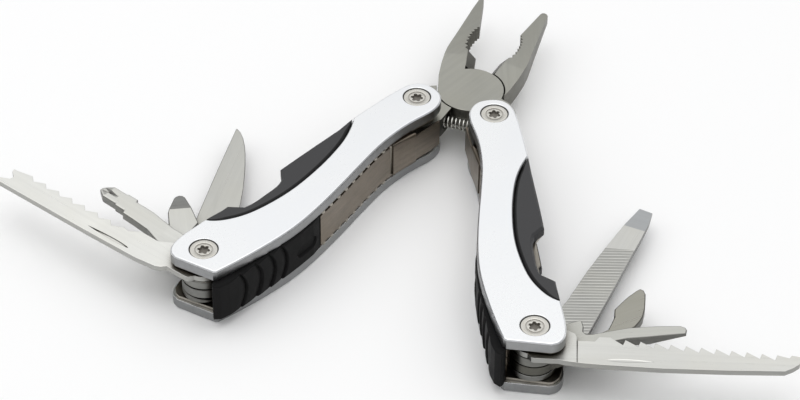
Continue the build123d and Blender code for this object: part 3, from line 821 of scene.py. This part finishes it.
M = {}
for s in ("left", "right"):
    M["top", s] = satin(f"satin_silver_{s}", SILVER, 0.30)
    # painted shade: the scales' steep side faces get a much darker silver than their tops
    M["side", s] = brushed(f"silver_shaded_side_{s}", (0.30, 0.305, 0.31), 0.36, HANDLE_DIR[s], 0.14, 0.3, 0.3, 0.2)
    M["sheet", s] = brushed(f"sheet_steel_{s}", (0.40, 0.375, 0.33), 0.38, HANDLE_DIR[s], 0.22, 0.35, 0.3, 0.35, deep=0.8)
    # painted shade: the web's steel is a dark brown, as it lies in shade deep inside the handle
    M["web", s] = brushed(f"shaded_web_steel_{s}", SHEET, 0.40, HANDLE_DIR[s], 0.30, 0.45, 0.3, 0.30,
                          tint=(0.22, 0.18, 0.135), deep=0.7)
for key, (s, d, layer) in TOOLS.items():
    M[key] = brushed(f"steel_{key}", GROUND[key], 0.33, d, 0.07, 0.25, 0.35, 0.12, deep=0.9)
    # painted shade: a darker copy of each tool's steel for its sides and rounded edges
    M["edge", key] = brushed(f"edge_{key}", scaled(GROUND[key], 0.50 if key in ("fish_scaler", "wood_saw") else 0.34), 0.36, d, 0.16, 0.3, 0.3, 0.2, deep=0.9)
M["jaw_upper"] = brushed("forged_upper", FORGED, 0.36, UPPER_DIR - 35, 0.10, 0.4, 0.35, 0.15)
M["jaw_lower"] = brushed("forged_lower", FORGED, 0.36, LOWER_DIR + 30, 0.10, 0.4, 0.35, 0.15)
# painted shade: a darker copy of the forged steel for the jaws' steep faces
M["jaw_side"] = brushed("forged_shaded_side", (0.155, 0.152, 0.135), 0.38, CENTRE_DIR, 0.12, 0.4, 0.3, 0.2)
M["insert"] = moulded("charcoal_plastic", (0.036, 0.036, 0.038), 0.54)
# painted shadow: near-black plastic for the insert faces that slope into the seam groove
M["seam"] = moulded("charcoal_seam_shadow", (0.008, 0.008, 0.0085), 0.6)
M["rubber"] = rubbery("black_rubber", (0.0062, 0.0062, 0.0064), 0.62)
M["wire"] = brushed("spring_wire_steel", (0.66, 0.65, 0.61), 0.24, 0, 0.10, 0.2, 0.0, 0.35)
for s in ("left", "right"):
    for e, c in (("front", FRONT[s]), ("rear", REAR[s])):
        M["screw", s, e] = turned(f"turned_steel_{s}_{e}", (0.66, 0.645, 0.60), 0.27, c)

# ------------------------------------------------------------------ helpers for pieces
def paint_sides(ob, index, limit=0.45):
    # steep faces take another slot; the callers give it a darker copy of the material, painted shade
    for p in ob.data.polygons:
        if abs(p.normal.z) < limit:
            p.material_index = index


def local_loops(node, z, loc):
    loops = [loc.into(l) for l in sections(node, z)]
    out = []
    for k, l in enumerate(loops):
        inside = sum(contains(o, l[0]) for o in loops if o is not l) % 2
        out.append(l[::-1] if (area(l) > 0) == bool(inside) else l)
    return out


def ease_cad(node, mats, width=0.10, segments=2, shaded_side_limit=None):
    """Keeps a CAD node, with its sharp edges eased and a finish of its own."""
    ob = NODES[node]
    ob.data.materials.clear()
    for m in mats:
        ob.data.materials.append(m)
    for p in ob.data.polygons:
        # steep faces may take the second material; on the jaws that is a darker copy, painted shade
        p.material_index = int(shaded_side_limit is not None and abs(p.normal.z) < shaded_side_limit)
        p.use_smooth = True
    weld = ob.modifiers.new("weld", "WELD")
    weld.merge_threshold = 1e-6
    if width:
        bev = ob.modifiers.new("ease", "BEVEL")
        bev.width = width * MM
        bev.segments = segments
        bev.limit_method = "ANGLE"
        bev.angle_limit = math.radians(32)
        bev.use_clamp_overlap = True
        bev.harden_normals = False
        if node.endswith("front_spring"):
            ob.modifiers.new("weld_corners", "WELD").merge_threshold = 2e-6
    wn = ob.modifiers.new("shade", "WEIGHTED_NORMAL")
    wn.keep_sharp = False
    wn.weight = 80
    return ob


# ------------------------------------------------------------------ handles
EASE = round_profile(0.10, 2)
FINE = round_profile(0.06, 2)


def scale_bores(level):
    if level == "top":
        prof = [(2.40, 14.0), (2.30, 14.1), (2.30, 15.5), (3.56, 15.5), (3.56, 16.84),
                (3.58, 16.92), (3.63, 16.97), (3.70, 17.0)]
    else:
        prof = [(3.70, 0.0), (3.63, 0.03), (3.58, 0.08), (3.56, 0.16), (3.56, 1.5),
                (2.30, 1.5), (2.30, 2.9), (2.40, 3.0)]
    return [(0.0, 0.0, prof), (REACH, 0.0, prof)]


GROOVES = (59.5, 63.6, 68.1, 73.3)


def rubber_grip(s):
    """The rubber grip: bowed overlapping ribs, a smooth rear end, an oblong recess."""
    loc = HANDLE[s]
    node = f"{s}_grip"
    # outer and inner lines of the CAD piece, between its grooves and at its recess
    loop = max(local_loops(node, 13.0, loc), key=lambda l: abs(area(l)))

    def ends_at(u):
        vs = []
        n = len(loop)
        for i in range(n):
            (x0, y0), (x1, y1) = loop[i], loop[(i + 1) % n]
            if (x0 <= u < x1) or (x1 <= u < x0):
                vs.append(y0 + (y1 - y0) * (u - x0) / (x1 - x0))
        return (min(vs), max(vs)) if len(vs) > 1 else None

    grooved = [(60.2, 1.0), (64.5, 1.0), (69.0, 1.0), (74.2, 1.0)]

    def outer_at(u):
        for c, w in grooved:
            if abs(u - c) < w:
                a, b = ends_at(c - w), ends_at(c + w)
                return a[0] + (b[0] - a[0]) * (u - c + w) / (2 * w)
        return ends_at(u)[0]

    us = []
    u = 46.82
    while u < 82.84:
        us.append(u)
        u += 0.16
    us.append(82.84)
    zlo, zhi, r = 3.02, 13.98, 0.45
    zs = [zlo + r + (zhi - zlo - 2 * r) * k / 56 for k in range(57)]
    corner = [(r * (1 - math.sin(a)), r * (1 - math.cos(a))) for a in
              [math.pi / 2 * k / 4 for k in range(4)]]

    def depth(u, z):
        bow = 2.0 * ((z - 8.5) / 5.5) ** 2
        q = u - bow
        d = 0.0
        for k, g0 in enumerate(GROOVES):
            g1 = GROOVES[k + 1] if k + 1 < len(GROOVES) else g0 + 3.4
            t = (q - g0) / (g1 - g0)
            if -0.06 < t < 0.0:
                d = max(d, 0.62 * (1 + t / 0.06))
            elif 0.0 <= t < 1.0:
                d = max(d, 0.62 * (1 - t) ** 2.2 + 0.16 * math.exp(-(t * 9.0) ** 2))
        # oblong recess
        du = max(0.0, abs(u - 52.4) - 2.1)
        e = 1.6 - math.hypot(du, z - 7.65)
        if e > -0.14:
            d = max(d, 0.60 * min(1.0, (e + 0.14) / 0.30))
        # eased front and rear ends
        for a, w in ((u - 46.82, 0.35), (82.84 - u, 0.8)):
            if a < w:
                d += 0.22 * (1 - a / w) ** 2
        return d

    verts, faces = [], []
    rows = []
    for u in us:
        lo, hi = ends_at(min(u, 82.83))
        lo = outer_at(u) if u < 82.0 else lo
        thick = hi - lo
        f = min(1.0, thick / 1.0)
        row = []
        outline = [(min(a * f, 0.4 * thick), zlo + b) for a, b in corner]
        outline += [(0.0, z) for z in zs]
        outline += [(min(a * f, 0.4 * thick), zhi - b) for a, b in corner[::-1]]
        for off, z in outline:
            d = min(depth(u, z), 0.62 * thick)
            row.append((u, lo + max(off, 0.0) + d * (1.0 if off == 0 else 0.6), z))
        row.append((u, hi - 0.02, zhi - 0.12))
        row.append((u, hi - 0.02, zlo + 0.12))
        rows.append(row)
    for row in rows:
        for u, v, z in row:
            q = loc.out(np.array([u, v]))
            verts.append((q[0] * MM, q[1] * MM, z * MM))
    n = len(rows[0])
    for i in range(len(rows) - 1):
        for j in range(n):
            k = (j + 1) % n
            faces.append([i * n + j, i * n + k, (i + 1) * n + k, (i + 1) * n + j])
    faces.append([j for j in range(n)][::-1])
    faces.append([(len(rows) - 1) * n + j for j in range(n)])
    if loc.side > 0:
        faces = [f[::-1] for f in faces]
    bm = bmesh.new()
    vs = [bm.verts.new(v) for v in verts]
    for f in faces:
        bm.faces.new([vs[i] for i in f])
    bmesh.ops.recalc_face_normals(bm, faces=bm.faces[:])
    me = bpy.data.meshes.new("vis_" + node)
    bm.to_mesh(me)
    bm.free()
    for p in me.polygons:
        p.use_smooth = True
    me.set_sharp_from_angle(angle=math.radians(42))
    ob = bpy.data.objects.new("vis_" + node, me)
    bpy.context.scene.collection.objects.link(ob)
    finish_piece(ob, node, M["rubber"])
    return ob


for s in ("left", "right"):
    loc = HANDLE[s]
    for level, z0, z1 in (("top", 14.0, 17.0), ("bottom", 0.0, 3.0)):
        face, back = bevel_profile(0.30, 0.42, 0.30, 3), round_profile(0.12, 2)
        if level == "bottom":
            face, back = back, face
        node = f"{s}_scale_{level}"
        outer = local_loops(node, 15.2 if level == "top" else 1.8, loc)[0]
        ob = plate("vis_" + node, [densify(outer, 1.5)], z0, z1, face, back, loc, bores=scale_bores(level))
        finish_piece(ob, node, M["top", s], [M["side", s]])
        # painted shade: the steep side faces take the darker silver
        paint_sides(ob, 1)

        # moulded insert, its rim well rounded so that a groove shows along the seam
        node = f"{s}_insert_{level}"
        outer = local_loops(node, 15.2 if level == "top" else 1.8, loc)[0]
        face, back = bevel_profile(0.62, 0.75, 0.30, 2), round_profile(0.12, 2)
        za, zb = (14.0, 16.75) if level == "top" else (0.25, 3.0)
        if level == "bottom":
            face, back = back, face
        ob = plate("vis_" + node, [densify(outer, 0.6)], za, zb, face, back, loc)
        finish_piece(ob, node, M["insert"], [M["seam"]])
        # painted shadow: the faces that slope toward the seam take the near-black plastic
        for p in ob.data.polygons:
            across = p.normal.x * loc.y[0] + p.normal.y * loc.y[1]
            p.material_index = int(across < -0.12)

        # sheet liner with its row of teeth
        node = f"{s}_liner_{level}"
        za, zb = (13.2, 14.0) if level == "top" else (3.0, 3.8)
        ob = plate("vis_" + node, local_loops(node, (za + zb) / 2, loc), za, zb, FINE, FINE, loc, tip=0.06)
        finish_piece(ob, node, M["sheet", s])

    node = f"{s}_web"
    ob = plate("vis_" + node, local_loops(node, 8.5, loc), 3.8, 13.2, FINE, FINE, loc, tip=0.06)
    finish_piece(ob, node, M["web", s])
    ease_cad(f"{s}_front_spring", [M["web", s]], 0.09)
    ease_cad(f"{s}_backspring", [M["web", s]], 0.07)
    ease_cad(f"{s}_front_spacers", [M["sheet", s]], 0.05)
    ease_cad(f"{s}_rear_washers", [M["sheet", s]], 0.03)
    for e in ("front", "rear"):
        ease_cad(f"{s}_{e}_sleeve", [M["screw", s, e]], 0.07)
        ease_cad(f"{s}_{e}_screw", [M["screw", s, e]], 0.07)
    rubber_grip(s)

# ------------------------------------------------------------------ pliers
ease_cad("jaw_upper", [M["jaw_upper"], M["jaw_side"]], 0.09, 2, 0.86)
ease_cad("jaw_lower", [M["jaw_lower"], M["jaw_side"]], 0.09, 2, 0.86)
ease_cad("plier_pin", [M["jaw_lower"]], 0.05)

# the return spring: its own copy of the CAD mesh, and the line of its axis
ob = bpy.data.objects.new("vis_return_spring", NODES["return_spring"].data.copy())
bpy.context.scene.collection.objects.link(ob)
ob.data.materials.clear()
for p in ob.data.polygons:
    p.material_index = 0
    p.use_smooth = True
weld = ob.modifiers.new("weld", "WELD")
weld.merge_threshold = 1e-6
wn = ob.modifiers.new("shade", "WEIGHTED_NORMAL")
wn.keep_sharp = False
wn.weight = 80
finish_piece(ob, "return_spring", M["wire"])
co = np.array([v.co for v in ob.data.vertices], float)
mid = co.mean(axis=0)
line = np.linalg.svd(co - mid, full_matrices=False)[2][0]
line = line if line[0] > 0 else -line
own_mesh(ob)


# ------------------------------------------------------------------ tools
def beyond(p, q, depth, reach):
    """Depth below the face for a flat grind that starts at the line p-q, on its right."""
    (x0, y0), (x1, y1) = p, q
    L = math.hypot(x1 - x0, y1 - y0)
    nx, ny = (y1 - y0) / L, -(x1 - x0) / L

    def f(x, y):
        d = (x - x0) * nx + (y - y0) * ny
        return max(0.0, d) * depth / reach

    return f, [(p, q)]


def nick(x0, x1, y, width, depth):
    """A crescent nail nick: its relief, the lines round it and points inside."""
    def half(u):
        return width * 0.5 * math.sin(math.pi * min(1.0, max(0.0, u))) ** 0.55 * (1.15 - 0.75 * u)

    def f(px, py):
        u = (px - x0) / (x1 - x0)
        if u <= 0 or u >= 1:
            return 0.0
        h = half(u)
        v = (py - y) / h if h > 1e-6 else 9
        return depth * (1 - v * v) ** 0.6 if abs(v) < 1 else 0.0

    n = 26
    xs = [x0 + (x1 - x0) * (0.5 - 0.5 * math.cos(math.pi * k / n)) for k in range(n + 1)]
    lines = []
    for sgn in (-1, 1):
        pts = [(x, y + sgn * half((x - x0) / (x1 - x0))) for x in xs]
        lines += list(zip(pts, pts[1:]))
    pts = [
        (x, y + v * half((x - x0) / (x1 - x0)))
        for x in xs[1:-1] for v in (-0.92, -0.75, -0.45, 0.0, 0.45, 0.75, 0.92)
    ]
    return f, lines, pts


def both(*fs):
    return lambda x, y: max(f(x, y) for f in fs)


def build(key, relief=None, low=None, creases=(), steiner=(), top=None, bottom=None, step=1.0, tip=0.05,
          level=0.5, edge=0.62, ground=None):
    s, d, (z0, z1) = TOOLS[key]
    loc = TOOL_FRAME[key]
    loops = [densify(l, step) for l in local_loops(key, z0 + level * (z1 - z0), loc)]
    ob = plate("vis_" + key, loops, z0, z1, top or EASE, bottom or EASE, loc, relief, low,
               creases, steiner, tip=tip)
    finish_piece(ob, key, M[key], [M["edge", key]])
    # painted shade: the steep faces take the darker copy of the steel
    paint_sides(ob, 1, edge)
    if ground:
        # the ground end beyond x = ground[0] has its own cross-ground finish, its colour darkened as painted shade
        ob.data.materials.append(brushed(f"ground_{key}", ground[1], 0.34, d + 90, 0.10, 0.3, 0.3, 0.1))
        for p in ob.data.polygons:
            u = loc.into(np.array([p.center.x, p.center.y]) * 1000.0)[0]
            if u > ground[0] and abs(p.normal.z) >= edge:
                p.material_index = 2
    return ob


flat = lambda x, y: 0.0

f, ln, st = nick(17.5, 30.5, 7.8, 1.15, 0.42)
build("fish_scaler", f, flat, ln, st)

f, ln = beyond((36.4, -8.0), (36.4, -1.0), 0.7, 3.2)


def flute(x, y):
    if x < 33.4:
        return 0.0
    w = 0.62
    v = abs(y + 4.4) / w
    return 0.72 * min(1.0, (x - 33.4) / 3.0) * max(0.0, 1 - v) if v < 1 else 0.0


build("phillips_driver", both(f, flute), both(f, flute),
      ln + [((33.4, -4.4), (40.5, -4.4)), ((33.4, -3.78), (40.5, -3.78)), ((33.4, -5.02), (40.5, -5.02)),
            ((36.4, -5.02), (36.4, -3.78)), ((33.4, -5.02), (33.4, -3.78))],
      [], round_profile(0.50, 4), round_profile(0.42, 3), 0.7, edge=0.80)

f, ln = beyond((24.7, -3.0), (24.7, 9.5), 0.9, 6.1)
build("slotted_driver", f, f, ln, [], round_profile(0.24, 3), round_profile(0.18, 3), edge=0.97,
      ground=(24.7, (0.36, 0.36, 0.35)))

f, ln = beyond((17.6, 4.6), (62.0, 9.4), 0.9, 9.0)
ob = build("knife_blade", f, f, ln, [], round_profile(0.26, 3), round_profile(0.12, 2), edge=0.955)
ob.modifiers.new("weld", "WELD").merge_threshold = 2e-6

# wood saw: a scribed line across its base and a shallow thumb hollow
f, ln, st = nick(17.0, 28.0, 6.5, 1.3, 0.06)


def scribe(x, y):
    return 0.14 * max(0.0, 1 - abs(x - 10.05) / 0.16)


build("wood_saw", both(f, scribe), flat,
      ln + [((x, -6.0), (x, 9.5)) for x in (9.89, 10.05, 10.21)], st, round_profile(0.07, 2), round_profile(0.07, 2))

# the pry bar is ground from below only
f, ln = beyond((27.6, -8.5), (27.6, 3.5), 1.75, 9.0)
build("pry_bar", flat, f, ln, [], round_profile(0.26, 3), round_profile(0.16, 3), level=0.94, edge=0.97)

build("can_opener", flat, flat, (), (), round_profile(0.26, 3), round_profile(0.20, 3), edge=0.97)

# file: single-cut ridges that run across the blade at an angle, then a plain band
# and a flat driver tip
f, ln = beyond((53.2, -1.0), (53.2, 11.0), 0.45, 8.0)
PITCH, CUT = 1.00, 0.08
ACROSS = math.radians(-66.34) * -1
rx, ry = math.sin(ACROSS), 0.0


def file_axis(x, y):
    """Distance across the ridges: they run along the world X axis."""
    a = math.radians(66.34)
    return x * math.sin(a) - y * math.cos(a)


F_LOW = file_axis(11.0, 8.6)
F_HIGH = file_axis(43.4, 1.3)
COUNT = int((F_HIGH - F_LOW) / PITCH)
F_LOW = F_HIGH - COUNT * PITCH


def ridges(x, y):
    q = file_axis(x, y)
    if q <= F_LOW or q >= F_HIGH:
        return 0.0
    ph = ((q - F_LOW) / PITCH) % 1.0
    if ph < 0.20:
        return CUT * ph / 0.20
    if ph < 0.38:
        return CUT * (0.38 - ph) / 0.18
    return 0.0


ridge_lines = []
a = math.radians(66.34)
for k in range(COUNT):
    for ph in (0.0, 0.20, 0.38):
        q = F_LOW + (k + ph) * PITCH
        # points with x sin a - y cos a = q, for y from -2 to 11
        ridge_lines.append((((q + -2 * math.cos(a)) / math.sin(a), -2.0), ((q + 11 * math.cos(a)) / math.sin(a), 11.0)))
ob = build("file_blade", both(f, ridges), both(f, ridges), ln + ridge_lines, [], round_profile(0.05, 1), round_profile(0.05, 1), 4.0,
           ground=(53.2, (0.47, 0.485, 0.50)))
ob.data.materials.append(brushed("cut_file", (0.40, 0.40, 0.38), 0.36, 0, 0.10, 0.3, 0.3, 0.2))
for p in ob.data.polygons:
    u, v = TOOL_FRAME["file_blade"].into(np.array([p.center.x, p.center.y]) * 1000.0)
    if F_LOW <= file_axis(u, v) <= F_HIGH and abs(p.normal.z) >= 0.62:
        p.material_index = 3


# ------------------------------------------------------------------ studio
scene = bpy.context.scene
scene.view_settings.view_transform = "Standard"
scene.view_settings.look = "None"

world = bpy.data.worlds.new("studio")
scene.world = world
world.use_nodes = True
wt = world.node_tree
wt.nodes.clear()
wo = wt.nodes.new("ShaderNodeOutputWorld")
bg = wt.nodes.new("ShaderNodeBackground")
tc = wt.nodes.new("ShaderNodeTexCoord")
sp = wt.nodes.new("ShaderNodeSeparateXYZ")
wt.links.new(tc.outputs["Generated"], sp.inputs[0])
ramp = wt.nodes.new("ShaderNodeValToRGB")
wt.links.new(sp.outputs["Z"], ramp.inputs[0])
ramp.color_ramp.elements[0].position = 0.0
ramp.color_ramp.elements[0].color = (0.30, 0.305, 0.31, 1)
ramp.color_ramp.elements[1].position = 0.75
ramp.color_ramp.elements[1].color = (1.0, 1.0, 1.0, 1)
for place_, grey in ((0.30, 0.38), (0.45, 0.52), (0.62, 0.94)):
    step_ = ramp.color_ramp.elements.new(place_)
    step_.color = (grey, grey * 1.005, grey * 1.01, 1)
wt.links.new(ramp.outputs[0], bg.inputs[0])
bg.inputs[1].default_value = 0.95
wt.links.new(bg.outputs[0], wo.inputs[0])


def softbox(name, at, size, power, target=(0, 0, 0.008), color=(1, 1, 1)):
    light = bpy.data.lights.new(name, "AREA")
    light.shape = "RECTANGLE"
    light.size, light.size_y = size
    light.energy = power
    light.color = color
    ob = bpy.data.objects.new(name, light)
    ob.location = at
    d = Vector(target) - Vector(at)
    ob.rotation_euler = d.to_track_quat("-Z", "Y").to_euler()
    scene.collection.objects.link(ob)
    return ob


softbox("key_back", (0.05, 0.62, 0.58), (1.1, 0.6), 0.22)
softbox("overhead", (0.0, 0.0, 0.9), (0.8, 0.8), 2.1)
softbox("fill_left", (-0.7, -0.1, 0.55), (0.5, 0.5), 0.3)

bpy.ops.mesh.primitive_plane_add(size=6.0, location=(0, 0, 0))
floor = bpy.context.object
floor.name = "floor"
g = Graph("studio_floor")
fn = g.noise(g.mapped((1, 1, 1)), 3.0, 2.0, 0.5)
g.set(Base_Color=g.mix(fn, (0.955, 0.955, 0.955), (0.965, 0.965, 0.965)), Roughness=0.9)
g.bsdf.inputs["Specular IOR Level"].default_value = 0.1
floor.data.materials.append(g.mat)

e = math.radians(41.739)
r = math.radians(-0.675)
xc = Vector((1, 0, 0))
yc = Vector((0, -math.sin(e), -math.cos(e)))
zc = Vector((0, math.cos(e), -math.sin(e)))
xr = math.cos(r) * xc + math.sin(r) * yc
yr = -math.sin(r) * xc + math.cos(r) * yc
cam = bpy.data.cameras.new("camera")
cam.sensor_width = 36.0
cam.sensor_fit = "HORIZONTAL"
cam.lens = 135.0
cam.clip_start = 0.01
cam.clip_end = 20.0
camera = bpy.data.objects.new("camera", cam)
m = Matrix.Identity(4)
for i in range(3):
    m[i][0], m[i][1], m[i][2] = xr[i], -yr[i], -zc[i]
m[0][3], m[1][3], m[2][3] = 0.00338, -0.56408, 0.50403
camera.matrix_world = m
scene.collection.objects.link(camera)
scene.camera = camera
